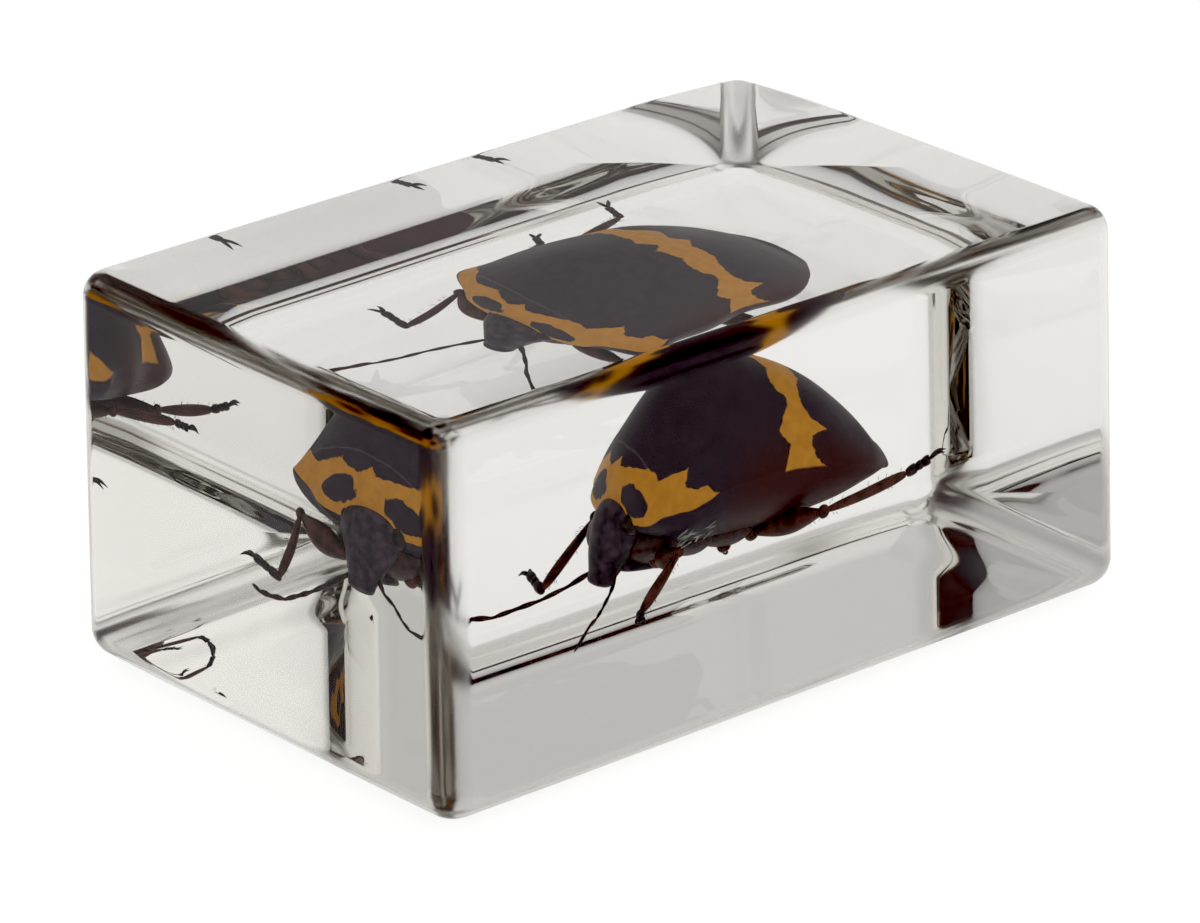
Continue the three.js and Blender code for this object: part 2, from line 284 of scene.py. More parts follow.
class ResinBlockSettings(bpy.types.PropertyGroup):
    length: FloatProperty(name="Length", description="Length at the foot", default=44 * MM, unit="LENGTH")
    width: FloatProperty(name="Width", description="Width at the foot", default=29 * MM, unit="LENGTH")
    height: FloatProperty(name="Height", description="Block height", default=CAD_BOUNDS[1][2], unit="LENGTH")
    draft: FloatProperty(
        name="Draft", description="How far each side leans in at the top", default=0.25 * MM, unit="LENGTH"
    )
    upright_edge: FloatProperty(
        name="Upright edges", description="Radius of the upright edges", default=1.7 * MM, unit="LENGTH"
    )
    top_edge: FloatProperty(
        name="Top edge", description="Radius round the top", default=1.3 * MM, unit="LENGTH"
    )
    bottom_edge: FloatProperty(
        name="Bottom edge", description="Radius round the underside", default=1.5 * MM, unit="LENGTH"
    )
    upright_reach: FloatProperty(
        name="Upright reach", description="How far the sides slope off", default=6.5 * MM, unit="LENGTH"
    )
    far_tilt: FloatProperty(
        name="Far tilt",
        description="Slope of a side at the back right corner",
        default=math.radians(9),
        subtype="ANGLE",
    )
    near_tilt: FloatProperty(
        name="Near tilt",
        description="Slope of a side at the other corners",
        default=math.radians(0.8),
        subtype="ANGLE",
    )
    bottom_reach: FloatProperty(
        name="Bottom reach", description="How far the underside slopes off", default=4.6 * MM, unit="LENGTH"
    )
    bottom_tilt: FloatProperty(
        name="Bottom tilt",
        description="Slope of the underside at its edge",
        default=math.radians(2.6),
        subtype="ANGLE",
    )
    bottom_crest: FloatProperty(
        name="Bottom crest",
        description="Slope added to the underside within the reach",
        default=math.radians(8),
        subtype="ANGLE",
    )
    top_reach: FloatProperty(
        name="Top reach", description="How far the top slopes off", default=1.8 * MM, unit="LENGTH"
    )
    top_tilt: FloatProperty(
        name="Top tilt", description="Slope of the top at its edge", default=math.radians(3), subtype="ANGLE"
    )
    tint: FloatVectorProperty(
        name="Tint", description="Colour the resin lets through", subtype="COLOR", default=(0.8, 0.79, 0.765)
    )
    density: FloatProperty(name="Density", description="How strongly it tints, per metre", default=32.0)
    edge_steps: IntProperty(name="Edge steps", description="Facets across each rounded edge", default=14)
    roll_steps: IntProperty(name="Roll steps", description="Facets across each roll-off", default=18)


class InsectSettings(bpy.types.PropertyGroup):
    gold: FloatVectorProperty(
        name="Gold", description="Colour of the collar and sash", subtype="COLOR", default=(0.68, 0.31, 0.055)
    )
    carapace: FloatVectorProperty(
        name="Carapace", description="Colour of the back", subtype="COLOR", default=(0.048, 0.033, 0.046)
    )
    legs: FloatVectorProperty(
        name="Legs", description="Colour of the legs", subtype="COLOR", default=(0.07, 0.022, 0.018)
    )
    carapace_rings: IntProperty(name="Carapace rings", description="Rings from head to tail", default=200)
    carapace_around: IntProperty(name="Carapace around", description="Faces around each ring", default=256)


class StageSettings(bpy.types.PropertyGroup):
    azimuth: FloatProperty(
        name="Azimuth", description="Camera azimuth from the block's front", default=-0.6980, subtype="ANGLE"
    )
    elevation: FloatProperty(
        name="Elevation", description="Camera elevation", default=0.3924, subtype="ANGLE"
    )
    roll: FloatProperty(name="Roll", description="Camera roll", default=-0.01815, subtype="ANGLE")
    distance: FloatProperty(
        name="Distance", description="From camera to block's middle", default=379.3 * MM, unit="LENGTH"
    )
    lens: FloatProperty(name="Lens", description="Focal length in mm", default=230.6)
    aim_right: FloatProperty(
        name="Aim right", description="Camera moved sideways", default=-0.118 * MM, unit="LENGTH"
    )
    aim_up: FloatProperty(name="Aim up", description="Camera moved up", default=-1.397 * MM, unit="LENGTH")


# ---------------- mesh helpers


def mesh_object(name, vertices, faces, smooth=True):
    """A mesh object in metres from vertices in mm."""
    mesh = bpy.data.meshes.new(name)
    mesh.from_pydata([tuple(v) for v in np.asarray(vertices, float) * MM], [], faces)
    mesh.update()
    mesh.polygons.foreach_set("use_smooth", [smooth] * len(mesh.polygons))
    obj = bpy.data.objects.new(name, mesh)
    bpy.context.scene.collection.objects.link(obj)
    return obj


def smooth_curve(angle, stations, values):
    """A smooth curve through the values at shares of a body's length, read at polar angles."""
    knots = np.arccos(1 - 2 * np.asarray(stations, float))
    values = np.asarray(values, float)
    slopes = np.gradient(values, knots)
    slopes[1:-1] = (values[2:] - values[:-2]) / (knots[2:] - knots[:-2])
    i = np.clip(np.searchsorted(knots, angle, side="right") - 1, 0, len(knots) - 2)
    span = knots[i + 1] - knots[i]
    t = np.clip((angle - knots[i]) / span, 0, 1)
    return (
        (2 * t**3 - 3 * t**2 + 1) * values[i]
        + (t**3 - 2 * t**2 + t) * span * slopes[i]
        + (3 * t**2 - 2 * t**3) * values[i + 1]
        + (t**3 - t**2) * span * slopes[i + 1]
    )


def ring_grid(rings, around):
    """Polar angles, angles around, and faces of a closed body: `rings` rows between two end points."""
    polar = np.linspace(0, math.pi, rings + 1)[1:-1]
    turn = np.linspace(0, 2 * math.pi, around, endpoint=False)
    faces = []
    last = len(polar) * around
    for j in range(around):
        k = (j + 1) % around
        faces.append((last, j, k))
        faces.append((last + 1, last - around + k, last - around + j))
        for i in range(len(polar) - 1):
            a = i * around
            faces.append((a + j, a + around + j, a + around + k, a + k))
    return polar, turn, faces


def trunk_section(polar, turn):
    """Points of the trunk in its own frame, at polar angles and at angles around it."""
    half_width = smooth_curve(polar, STATIONS, HALF_WIDTH)
    back = smooth_curve(polar, STATIONS, BACK_HEIGHT)
    belly = smooth_curve(polar, STATIONS, BELLY_DEPTH)
    fullness = smooth_curve(polar, CREST_STATIONS, CREST_FULLNESS)
    edge = smooth_curve(polar, EDGE_STATIONS, EDGE_HEIGHT)
    side = np.abs(np.cos(turn))
    up = back * np.maximum(0, 1 - side**BACK_SQUARENESS) ** (1 / fullness)
    down = -belly * np.sqrt(np.maximum(0, 1 - side**BELLY_SQUARENESS))
    x = -np.cos(polar) * TRUNK_LENGTH / 2 + 0 * turn
    y = half_width * np.cos(turn)
    z = edge + np.where(np.sin(turn) >= 0, up, down)
    return np.stack([x, y, z], -1)


def edge_profile(radius, reach, tilt, crest, edge_steps, roll_steps, mirrored=False):
    """The edge between a face and its neighbour: (slope, inset from the neighbour, drop from the face, matt).

    Polishing has sloped the flat face off over `reach`: the slope grows evenly to `tilt`, with `crest` more
    in the middle of the reach. Then the edge turns on `radius`. A mirrored edge has the same roll-off on both
    faces and ends halfway round. Only the rounded edge is matt.
    """
    shares = np.linspace(0, 1, roll_steps + 1)
    swell = np.exp(-(((shares - CREST_PLACE) / CREST_WIDTH) ** 2)) * np.minimum(1, shares / CREST_START)
    slopes = tilt * shares + crest * swell
    drops = np.concatenate([[0], np.cumsum((slopes[1:] + slopes[:-1]) / 2) * reach / roll_steps])
    tilt = slopes[-1]
    sag = drops[-1]
    shift = sag - radius * (1 - math.cos(tilt)) if mirrored else 0.0
    end = math.pi / 4 if mirrored else math.pi / 2
    profile = []
    for share, slope, drop in zip(shares[:-1], slopes[:-1], drops[:-1]):
        profile.append((slope, shift + radius * (1 - math.sin(tilt)) + reach * (1 - share), drop, 0.0))
    for i in range(edge_steps + 1):
        slope = tilt + (end - tilt) * i / edge_steps
        drop = sag + radius * (math.cos(tilt) - math.cos(slope))
        to_face = i if mirrored else min(i, edge_steps - i)
        profile.append((slope, shift + radius * (1 - math.sin(slope)), drop, min(1.0, to_face / MATT_STEPS)))
    return profile


def bent_rod(stops, sides=16, rings=20, bluntness=0.35):
    """A closed rod through (x, y, z, radius) stops, bent smoothly and with rounded ends."""
    stops = np.asarray(stops, float)
    polar, turn, faces = ring_grid(rings, sides)
    stations = np.linspace(0, 1, len(stops))
    path = np.stack([smooth_curve(polar, stations, stops[:, i]) for i in range(3)], -1)
    radius = np.maximum(smooth_curve(polar, stations, stops[:, 3]), 0.01) * np.sin(polar) ** bluntness
    ahead = np.vstack([stops[:1, :3], path, stops[-1:, :3]])
    ahead = ahead[2:] - ahead[:-2]
    ahead /= np.linalg.norm(ahead, axis=1)[:, None]
    thinnest = np.eye(3)[np.argmin(np.abs(ahead.mean(0)))]
    across = np.cross(ahead, thinnest)
    across /= np.linalg.norm(across, axis=1)[:, None]
    upward = np.cross(across, ahead)
    ring = across[:, None] * np.cos(turn)[None, :, None] + upward[:, None] * np.sin(turn)[None, :, None]
    points = (path[:, None] + radius[:, None, None] * ring).reshape(-1, 3)
    return np.vstack([points, stops[0, :3], stops[-1, :3]]), faces


def rod(start, end, start_radius, end_radius, swell=0.0, **shape):
    """A straight rod, swollen by `swell` at its middle."""
    start, end = np.asarray(start, float), np.asarray(end, float)
    middle_radius = (start_radius + end_radius) / 2 * (1 + swell)
    stops = [(*start, start_radius), (*((start + end) / 2), middle_radius), (*end, end_radius)]
    return bent_rod(stops, **shape)


def ball(centre, radii, rings=16, around=24):
    """A closed ellipsoid."""
    polar, turn, faces = ring_grid(rings, around)
    polar = np.concatenate([np.repeat(polar, around), [0, math.pi]])
    turn = np.concatenate([np.tile(turn, rings - 1), [0, 0]])
    ways = np.stack([np.sin(polar) * np.cos(turn), np.sin(polar) * np.sin(turn), np.cos(polar)], -1)
    return np.asarray(centre) + ways * np.asarray(radii), faces


def thickened(stops, shares):
    """Stops of a rod with their radii multiplied by shares."""
    stops = np.array(stops, float)
    stops[:, 3] *= shares
    return stops


def facing_out(points, faces):
    """The faces of a closed part, turned over if they face inwards."""
    points = np.asarray(points, float)
    corners = np.array([(face[0], face[i], face[i + 1]) for face in faces for i in range(1, len(face) - 1)])
    a, b, c = points[corners[:, 0]], points[corners[:, 1]], points[corners[:, 2]]
    volume = (a * np.cross(b, c)).sum()
    return faces if volume > 0 else [tuple(reversed(face)) for face in faces]


def settle(obj, slot, *stands_for):
    """Puts a piece on the frame and in the place of the solids it stands for. The slot is not used."""
    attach(obj, "root")
    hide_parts(*stands_for)


class InsectPiece:
    """Collects closed parts into one piece of the insect."""

    def __init__(self):
        self.vertices = []
        self.faces = []

    def add(self, part):
        """Takes a closed part as (points, faces)."""
        points, faces = part
        faces = facing_out(points, faces)
        start = len(self.vertices)
        self.vertices.extend(tuple(p) for p in points)
        self.faces.extend(tuple(start + i for i in face) for face in faces)

    def build(self, name, material):
        obj = mesh_object(name, self.vertices, self.faces)
        obj.data.materials.append(material)
        settle(obj, "insect", "shield_bug")


# ---------------- shader helpers


class Shader:
    """A node tree with short calls for the nodes that the finishes use."""

    def __init__(self, tree):
        self.tree = tree
        self.nodes = tree.nodes
        self.links = tree.links

    def feed(self, socket, value):
        """Links a socket to another node's output, or sets its value."""
        if isinstance(value, bpy.types.NodeSocket):
            self.links.new(value, socket)
        elif socket.type == "RGBA":
            socket.default_value = (*value, 1)
        else:
            socket.default_value = value

    def node(self, kind, inputs=None, **settings):
        """A new node. Its settings come first, because they can change its inputs."""
        made = self.nodes.new(kind)
        for key, value in settings.items():
            setattr(made, key, value)
        for key, value in (inputs or {}).items():
            self.feed(made.inputs[key], value)
        return made

    def math(self, operation, a, b=0.0, c=0.0, clamp=False):
        made = self.node("ShaderNodeMath", {0: a, 1: b, 2: c}, operation=operation, use_clamp=clamp)
        return made.outputs[0]

    def product(self, first, *rest):
        for value in rest:
            first = self.math("MULTIPLY", first, value)
        return first

    def length(self, a, b):
        """The length of the arrow (a, b)."""
        squares = self.math("MULTIPLY", a, a), self.math("MULTIPLY", b, b)
        return self.math("SQRT", self.math("ADD", *squares))

    def vector(self, operation, inputs, output=0):
        """Arithmetic on arrows. The output is numbered or named."""
        return self.node("ShaderNodeVectorMath", inputs, operation=operation).outputs[output]

    def step(self, value, low, high):
        """0 at low, 1 at high, smooth between and level beyond. The low end may be the greater number."""
        limits = {"Value": value, "From Min": low, "From Max": high}
        return self.node("ShaderNodeMapRange", limits, interpolation_type="SMOOTHSTEP").outputs["Result"]

    def beyond(self, value, border, fade):
        """1 beyond the border and 0 short of it, fading over a little on both sides."""
        return self.step(self.math("SUBTRACT", value, border), -fade, fade)

    def rise(self, value, low, high, gain, base):
        """The base at low, the base and the gain at high."""
        return self.math("MULTIPLY_ADD", self.step(value, low, high), gain, base)

    def mix(self, factor, a, b):
        """From colour a to colour b. Sockets 0, 6 and 7 are a colour mix's factor and its two colours."""
        return self.node("ShaderNodeMix", {0: factor, 6: a, 7: b}, data_type="RGBA").outputs[2]

    def noise(self, place, scale, detail=3.0, roughness=0.5, output="Fac"):
        inputs = {"Vector": place, "Scale": scale, "Detail": detail, "Roughness": roughness}
        return self.node("ShaderNodeTexNoise", inputs).outputs[output]

    def outline(self, value, points, low, high, top):
        """A border read off a few points: value runs from low to high, the result from 0 to top."""
        share = self.math("DIVIDE", self.math("SUBTRACT", value, low), high - low, clamp=True)
        curve = self.node("ShaderNodeFloatCurve", {"Value": share})
        line = curve.mapping.curves[0]
        spots = [((x - low) / (high - low), y / top) for x, y in points]
        line.points[0].location = spots[0]
        line.points[1].location = spots[-1]
        for spot in spots[1:-1]:
            line.points.new(*spot)
        for point in line.points:
            point.handle_type = "VECTOR"
        curve.mapping.update()
        return self.math("MULTIPLY", curve.outputs[0], top)


def scaled(colour, factor):
    return tuple(factor * share for share in colour)


def new_material(name):
    """A material, its node tree and its surface shader."""
    material = bpy.data.materials.new(name)
    material.use_nodes = True
    shader = Shader(material.node_tree)
    surface = material.node_tree.nodes["Principled BSDF"]
    return material, shader, surface


def new_group(name, inputs, outputs):
    """A node group with named float or colour sockets, and its input and output nodes."""
    tree = bpy.data.node_groups.new(name, "ShaderNodeTree")
    for label, kind, value in inputs:
        socket = tree.interface.new_socket(label, in_out="INPUT", socket_type=kind)
        socket.default_value = value
    for label, kind in outputs:
        tree.interface.new_socket(label, in_out="OUTPUT", socket_type=kind)
    shader = Shader(tree)
    return shader, shader.node("NodeGroupInput").outputs, shader.node("NodeGroupOutput").inputs


def cuticle_group():
    """Hard insect skin: fine pits and slow unevenness as a height, and an uneven shade."""
    if "Cuticle" in bpy.data.node_groups:
        return bpy.data.node_groups["Cuticle"]
    shader, given, made = new_group(
        "Cuticle",
        (("Pits per metre", "NodeSocketFloat", 5200.0), ("Pit depth", "NodeSocketFloat", 0.5)),
        (("Height", "NodeSocketFloat"), ("Shade", "NodeSocketFloat")),
    )
    place = shader.node("ShaderNodeTexCoord").outputs["Object"]
    pits = shader.node("ShaderNodeTexVoronoi", {"Vector": place, "Scale": given["Pits per metre"]})
    pit = shader.product(shader.step(pits.outputs["Distance"], 0.12, 0.45), given["Pit depth"])
    slow = shader.noise(place, 900.0, 4.0)
    shader.feed(made["Height"], shader.math("ADD", pit, slow))
    shader.feed(made["Shade"], shader.noise(place, 1500.0, 5.0, 0.6))
    return shader.tree


def pitted_skin(shader, surface, pits, pit_depth, strength, depth):
    """Gives a surface the cuticle's pits, and returns its uneven shade."""
    values = {"Pits per metre": pits, "Pit depth": pit_depth}
    skin = shader.node("ShaderNodeGroup", values, node_tree=cuticle_group()).outputs
    bump = shader.node("ShaderNodeBump", {"Height": skin["Height"], "Strength": strength, "Distance": depth})
    shader.feed(surface.inputs["Normal"], bump.outputs[0])
    return skin["Shade"]


# ---------------- finishes


def resin_finish(settings):
    """Clear resin with a slight warm tint, matt on the rounded edges alone."""
    material, shader, surface = new_material("Clear resin")
    surface.inputs["Base Color"].default_value = (0.985, 0.985, 0.98, 1)
    surface.inputs["Metallic"].default_value = 0.0
    surface.inputs["Transmission Weight"].default_value = 1.0
    surface.inputs["IOR"].default_value = RESIN_IOR
    matt = shader.node("ShaderNodeAttribute", attribute_name="matt_edge").outputs["Fac"]
    shader.feed(surface.inputs["Roughness"], shader.product(matt, MATT_ROUGHNESS))
    tint = shader.node("ShaderNodeVolumeAbsorption", {"Color": settings.tint, "Density": settings.density})
    shader.feed(shader.nodes["Material Output"].inputs["Volume"], tint.outputs[0])
    return material


def chart_place(shader, place):
    """Sideways and forward on the carapace's chart, and the angles back and sideways, in degrees.

    The place wanders a little, so that the borders read from it are ragged.
    """
    chart = shader.node("ShaderNodeAttribute", attribute_name="carapace_chart").outputs["Vector"]
    ragged = shader.noise(place, 1400.0, 4.0, 0.6, "Color")
    wobble = shader.vector("SUBTRACT", {0: ragged, 1: (0.5, 0.5, 0.5)})
    shift = shader.vector("SCALE", {0: wobble, "Scale": BORDER_WANDER})
    parts = shader.node("ShaderNodeSeparateXYZ", {0: shader.vector("ADD", {0: chart, 1: shift})}).outputs
    sideways, forward = parts["X"], parts["Y"]
    back = shader.length(sideways, forward)
    turn = shader.math("DEGREES", shader.math("ARCTAN2", sideways, forward))
    return sideways, forward, back, turn


def collar_mask(shader, sideways, forward, back, turn):
    """The gold collar behind the head, with its round dark blotches."""
    border = shader.outline(turn, COLLAR_BACK_BORDER, -90, 90, 90)
    side_limit = shader.outline(back, COLLAR_SIDE_LIMIT, 0, 90, 120)
    aside = shader.math("ABSOLUTE", turn)
    collar = shader.product(shader.beyond(border, back, BORDER_FADE), shader.beyond(side_limit, aside, 1.0))
    for across, ahead, radius in BLOTCHES:
        dx = shader.math("SUBTRACT", sideways, across)
        dy = shader.math("SUBTRACT", forward, ahead)
        outside = shader.step(shader.length(dx, dy), radius - BLOTCH_FADE, radius + BLOTCH_FADE)
        collar = shader.product(collar, outside)
    return collar


def sash_mask(shader, back, turn):
    """The gold sash across the back, between its two borders."""
    front = shader.outline(turn, SASH_FRONT_BORDER, -90, 90, 180)
    rear = shader.outline(turn, SASH_BACK_BORDER, -90, 90, 180)
    full, none = SASH_SIDE_LIMIT
    return shader.product(
        shader.beyond(back, front, BORDER_FADE),
        shader.beyond(rear, back, BORDER_FADE),
        shader.step(shader.math("ABSOLUTE", turn), none, full),
    )


def highlight_and_speck_mask(shader, place, back, turn):
    """A painted highlight along the pronotum's rear edge behind the collar, and small pale specks all over.
    """
    line = shader.outline(turn, HIGHLIGHT_LINE, -90, 90, 90)
    aside = shader.math("ABSOLUTE", shader.math("SUBTRACT", back, line))
    left, right = HIGHLIGHT_LINE_SIDES
    full, none = HIGHLIGHT_LINE_HALF_WIDTH
    # Painted highlight: a pale line along the pronotum's rear edge behind the collar, fading at its sides.
    highlight_line = shader.product(
        shader.step(aside, none, full),
        HIGHLIGHT_LINE_STRENGTH,
        shader.step(turn, left - 4, left + 4),
        shader.step(turn, right + 2, right - 2),
    )
    cells = shader.node("ShaderNodeTexVoronoi", {"Vector": place, "Scale": SPECKS_PER_METRE}).outputs
    speck = shader.step(cells["Distance"], 0.07, 0.03)
    luck = shader.node("ShaderNodeSeparateColor", {0: cells["Color"]}).outputs[0]
    return shader.math("MAXIMUM", highlight_line, shader.product(speck, shader.step(luck, 0.6, 0.95)))


def carapace_finish(settings):
    """Near-black carapace with a gold collar behind the head, a gold sash across the back and a painted
    highlight behind the collar.
    """
    material, shader, surface = new_material("Carapace")
    place = shader.node("ShaderNodeTexCoord").outputs["Object"]
    sideways, forward, back, turn = chart_place(shader, place)
    collar = collar_mask(shader, sideways, forward, back, turn)
    gold = shader.math("MAXIMUM", collar, sash_mask(shader, back, turn))
    pale_and_painted_highlight = highlight_and_speck_mask(shader, place, back, turn)
    rusty = shader.product(shader.step(shader.math("ABSOLUTE", turn), 45, 88), shader.step(back, 50, 80), 0.8)
    shade = pitted_skin(shader, surface, 4800.0, 0.55, 0.2, 0.00005)
    dark = shader.mix(shade, scaled(settings.carapace, 0.55), scaled(settings.carapace, 1.5))
    dark = shader.mix(rusty, dark, RUSTY_SIDES)
    # Painted highlight: the pale line behind the collar, mixed in with the real pale specks.
    dark = shader.mix(shader.product(pale_and_painted_highlight, HIGHLIGHT_AND_SPECK_STRENGTH), dark, HIGHLIGHT_AND_SPECK_COLOUR)
    amber = shader.mix(shade, scaled(settings.gold, 0.72), scaled(settings.gold, 1.2))
    shader.feed(surface.inputs["Base Color"], shader.mix(gold, dark, amber))
    surface.inputs["Roughness"].default_value = 0.42
    surface.inputs["Specular IOR Level"].default_value = 0.12
    return material


def plain_cuticle_finish(name, colour, pits, roughness=0.4, gloss=0.15, depth=0.00004):
    """Pitted skin of one colour, darker and lighter in patches."""
    material, shader, surface = new_material(name)
    patches = shader.step(pitted_skin(shader, surface, pits, 0.4, 0.3, depth), 0.35, 0.7)
    shader.feed(surface.inputs["Base Color"], shader.mix(patches, scaled(colour, 0.6), scaled(colour, 1.8)))
    surface.inputs["Roughness"].default_value = roughness
    surface.inputs["Specular IOR Level"].default_value = gloss
    return material


# ---------------- operators


class SPECIMEN_OT_resin_block(bpy.types.Operator):
    """Build the clear block with its rounded edges"""

    bl_idname = "specimen.resin_block"
    bl_label = "Resin Block"

    def execute(self, context):
        size = context.scene.resin_block
        steps = size.edge_steps, size.roll_steps
        plan = self.plan(size, steps)
        rows = self.rows(size, steps)
        vertices, normals, polish = self.surface(size, plan, rows)
        around = len(plan)
        faces = [tuple(range(around - 1, -1, -1))]
        for row in range(len(rows) - 1):
            a = row * around
            for j in range(around):
                k = (j + 1) % around
                faces.append((a + j, a + k, a + around + k, a + around + j))
        faces.append(tuple(range((len(rows) - 1) * around, len(rows) * around)))
        obj = mesh_object("resin_block", np.array(vertices) / MM, faces)
        obj.data.normals_split_custom_set_from_vertices([tuple(n) for n in normals])
        layer = obj.data.attributes.new("matt_edge", "FLOAT", "POINT")
        layer.data.foreach_set("value", polish)
        obj.data.materials.append(resin_finish(size))
        settle(obj, "clear_resin", "resin_block_lower", "resin_block_upper")
        return {"FINISHED"}

    def plan(self, size, steps):
        """The block from above, round its four corners, as (signs of the corner, spot, way out, matt)."""
        half = np.array((size.length, size.width)) / 2
        plan = []
        for quarter, sign in enumerate(((1, 1), (-1, 1), (-1, -1), (1, -1))):
            sign = np.array(sign)
            tilt = size.far_tilt if quarter == 0 else size.near_tilt
            edge = edge_profile(size.upright_edge, size.upright_reach, tilt, 0.0, *steps, mirrored=True)
            corner = [(slope, (-drop, -inset), matt) for slope, inset, drop, matt in edge]
            corner += [(math.pi / 2 - turn, shift[::-1], matt) for turn, shift, matt in reversed(corner[:-1])]
            run = corner if quarter % 2 == 0 else reversed(corner)
            for turn, shift, matt in run:
                way = sign * np.array((math.cos(turn), math.sin(turn)))
                plan.append((sign, sign * (half + np.array(shift)), way, matt))
        return plan

    def rows(self, size, steps):
        """The block from the side, from the underside up, as (inset, rise, slope, up or down, matt)."""
        slopes = size.bottom_tilt, size.bottom_crest
        bottom = edge_profile(size.bottom_edge, size.bottom_reach, *slopes, *steps)
        top = edge_profile(size.top_edge, size.top_reach, size.top_tilt, 0.0, *steps)
        rows = [(inset, drop, slope, -1, matt) for slope, inset, drop, matt in bottom]
        rows += [(inset, size.height - drop, slope, 1, matt) for slope, inset, drop, matt in reversed(top)]
        return rows

    def surface(self, size, plan, rows):
        """The plan set in and raised row by row: vertices in metres, their normals, and how matt they are."""
        half = np.array((size.length, size.width)) / 2
        vertices = []
        normals = []
        polish = []
        corner_room = CORNER_SHARE * size.upright_edge
        for inset, rise, slope, side, matt in rows:
            lean = size.draft * rise / size.height
            for sign, spot, way, upright_matt in plan:
                place = spot - way * min(inset, corner_room) - sign * max(inset - corner_room, 0)
                place = place * (1 - lean / half)
                mitre = abs(way).sum() if inset > corner_room else 1.0
                outward = way * math.sin(slope) / mitre
                upward = side * math.cos(slope) + math.sin(slope) * size.draft / size.height
                vertices.append((*place, rise))
                normals.append(Vector((*outward, upward)).normalized())
                polish.append(matt if inset > corner_room else max(matt, upright_matt))
        return vertices, normals, polish


class SPECIMEN_OT_insect_carapace(bpy.types.Operator):
    """Build the domed trunk of the insect with its markings"""

    bl_idname = "specimen.insect_carapace"
    bl_label = "Insect Carapace"

    def execute(self, context):
        settings = context.scene.insect
        polar, turn, faces = ring_grid(settings.carapace_rings, settings.carapace_around)
        rows, columns = np.meshgrid(polar, turn, indexing="ij")
        points = trunk_section(rows, columns).reshape(-1, 3)
        ends = trunk_section(np.array([0.0, math.pi]), np.array([0.0, 0.0]))
        points = np.vstack([points, ends])
        pose = np.array(Euler(TRUNK_TURN, "XYZ").to_matrix())
        points = points @ pose.T + np.array(TRUNK_MIDDLE)
        sideways = math.pi / 2 - columns
        back = np.degrees(rows)
        chart = np.stack([back * np.sin(sideways), back * np.cos(sideways), 0 * back], -1)
        chart = np.vstack([chart.reshape(-1, 3), [(0, 0, 0), (0, 180, 0)]])
        obj = mesh_object("insect_carapace", points, facing_out(points, faces))
        layer = obj.data.attributes.new("carapace_chart", "FLOAT_VECTOR", "POINT")
        layer.data.foreach_set("vector", chart.ravel())
        obj.data.materials.append(carapace_finish(settings))
        settle(obj, "insect", "shield_bug")
        return {"FINISHED"}


class SPECIMEN_OT_insect_head(bpy.types.Operator):
    """Build the head, its eyes and the beak under it"""

    bl_idname = "specimen.insect_head"
    bl_label = "Insect Head"

    def execute(self, context):
        settings = context.scene.insect
        base, tip = Vector(HEAD_BASE), Vector(HEAD_TIP)
        axis = (tip - base).normalized()
        sideways = Vector((0, 1, 0))
        forward = axis.cross(sideways).normalized()
        polar, turn, faces = ring_grid(HEAD_RINGS, HEAD_AROUND)
        widths = smooth_curve(polar, HEAD_STATIONS, HEAD_HALF_WIDTH)
        depths = smooth_curve(polar, HEAD_STATIONS, HEAD_HALF_DEPTH)
        points = []
        for angle, wide, deep in zip(polar, widths, depths):
            centre = base.lerp(tip, (1 - math.cos(angle)) / 2)
            for t in turn:
                points.append(centre + sideways * wide * math.cos(t) + forward * deep * math.sin(t))
        points += [base, tip]
        head = InsectPiece()
        head.add((points, faces))
        head.add(bent_rod(ROSTRUM))
        head.build("insect_head", plain_cuticle_finish("Head", settings.carapace, 5200.0))
        eyes = InsectPiece()
        x, y, z = EYE_PLACE
        for side in (-1, 1):
            eyes.add(ball((x, side * y, z), (EYE_RADIUS,) * 3))
        eyes.build("insect_eyes", plain_cuticle_finish("Eyes", EYE_COLOUR, 16000.0, 0.3, 0.3))
        return {"FINISHED"}


class SPECIMEN_OT_insect_breast(bpy.types.Operator):
    """Build the breast plates between the legs and a tuft of pale hairs, whose paleness partly paints a glint
    """

    bl_idname = "specimen.insect_breast"
    bl_label = "Insect Breast"

    def execute(self, context):
        breast = InsectPiece()
        for middle, half_sizes in BREAST_PLATES:
            breast.add(ball(middle, half_sizes, 28, 40))
        skin = plain_cuticle_finish("Breast", BREAST_COLOUR, 2600.0, 0.35, 0.3, depth=0.00014)
        breast.build("insect_breast", skin)
        chance = random.Random(11)
        tuft = InsectPiece()
        middle, spread = TUFT
        for _ in range(TUFT_HAIRS):
            root = [m + s * chance.uniform(-1, 1) for m, s in zip(middle, spread)]
            reach = chance.uniform(*TUFT_HAIR_LENGTHS)
            turn = chance.gauss(*TUFT_HAIR_TURN)
            rise = reach * math.sin(turn) * TUFT_LIFT
            tip = (root[0] + reach * math.cos(turn), root[1] - TUFT_STAND, root[2] + rise)
            tuft.add(rod(root, tip, *TUFT_HAIR_RADII, sides=6, rings=6))
        # Painted glint: the tuft's pale colour stands partly for a silver glint on the flank.
        pale_and_painted_highlight = plain_cuticle_finish("Pale hairs and painted glint", HAIR_AND_GLINT_COLOUR, 9000.0, 0.3, 0.5)
        tuft.build("insect_tuft", pale_and_painted_highlight)
        return {"FINISHED"}


